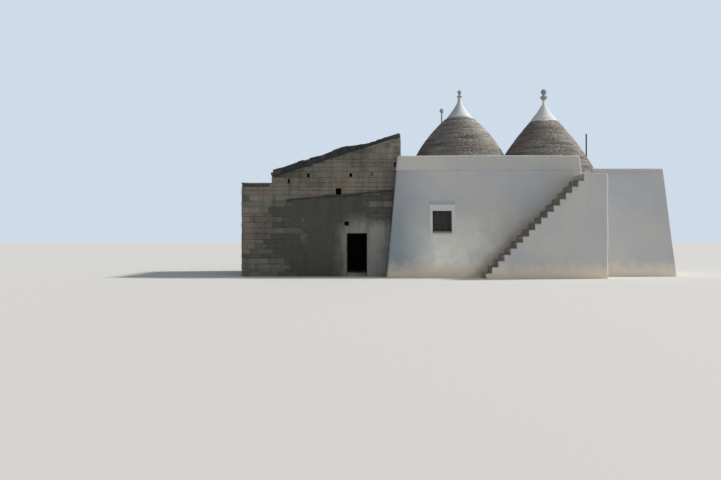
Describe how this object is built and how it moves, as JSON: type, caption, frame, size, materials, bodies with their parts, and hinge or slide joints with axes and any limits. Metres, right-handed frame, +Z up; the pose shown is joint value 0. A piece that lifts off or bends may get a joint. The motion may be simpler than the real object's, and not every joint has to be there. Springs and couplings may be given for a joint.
{
  "type": "trullo house",
  "caption": "Whitewashed stone house under corbelled dry-stone cones, with a lower wing, an outside stair to the roof terrace and a rough stone barn.",
  "frame": {"origin": "on the ground, in the middle of the whole outline's box", "axes": "+X along the front to the right as seen from the front, +Y from the front to the back, +Z up"},
  "size_m": [18.73, 8.04, 8.6355],
  "materials": {
    "limewash": "rough limewashed plaster over stone, dirtied near the ground",
    "cone_stone": "weathered thin limestone slabs with lichen, laid dry",
    "barn_stone": "weathered squared limestone blocks with remains of plaster",
    "dressed_stone": "worn limestone paving and dressed blocks",
    "dark_timber": "old dark paint on timber",
    "old_timber": "bare weathered timber",
    "window_pane": "dusty glass",
    "dull_iron": "dull oxidised iron"
  },
  "bodies": {
    "root": {"front_wall": "limewash", "left_wall": "limewash", "back_wall": "limewash", "wing_front_wall": "limewash", "wing_end_wall": "limewash", "wing_back_wall": "limewash", "room_cross_wall": "limewash", "wing_cross_wall": "limewash", "front_parapet": "limewash", "back_parapet": "limewash", "wing_kerb": "limewash", "left_pinnacle": "limewash", "right_pinnacle": "limewash", "left_finial": "limewash", "right_finial": "limewash", "window_bands": "limewash", "window_drip_ledges": "limewash", "stair_masonry": "limewash", "stair_landing": "limewash", "left_cone_cladding": "cone_stone", "right_cone_cladding": "cone_stone", "barn_roof_slabs": "cone_stone", "barn_front_wall": "barn_stone", "barn_back_wall": "barn_stone", "barn_left_wall": "barn_stone", "barn_party_wall": "barn_stone", "barn_drip_course": "barn_stone", "house_floor": "dressed_stone", "roof_terrace": "dressed_stone", "left_inner_dome": "dressed_stone", "right_inner_dome": "dressed_stone", "window_sills": "dressed_stone", "rear_door_lintel": "dressed_stone", "stair_steps": "dressed_stone", "barn_floor": "dressed_stone", "barn_door_lintel": "dressed_stone", "window_frames": "dark_timber", "rear_door_frame": "dark_timber", "rear_door": "old_timber", "barn_purlins": "old_timber", "window_glass": "window_pane", "flue_pipe": "dull_iron", "flue_cowl": "dull_iron", "vent_pipe": "dull_iron"}
  },
  "joints": []
}
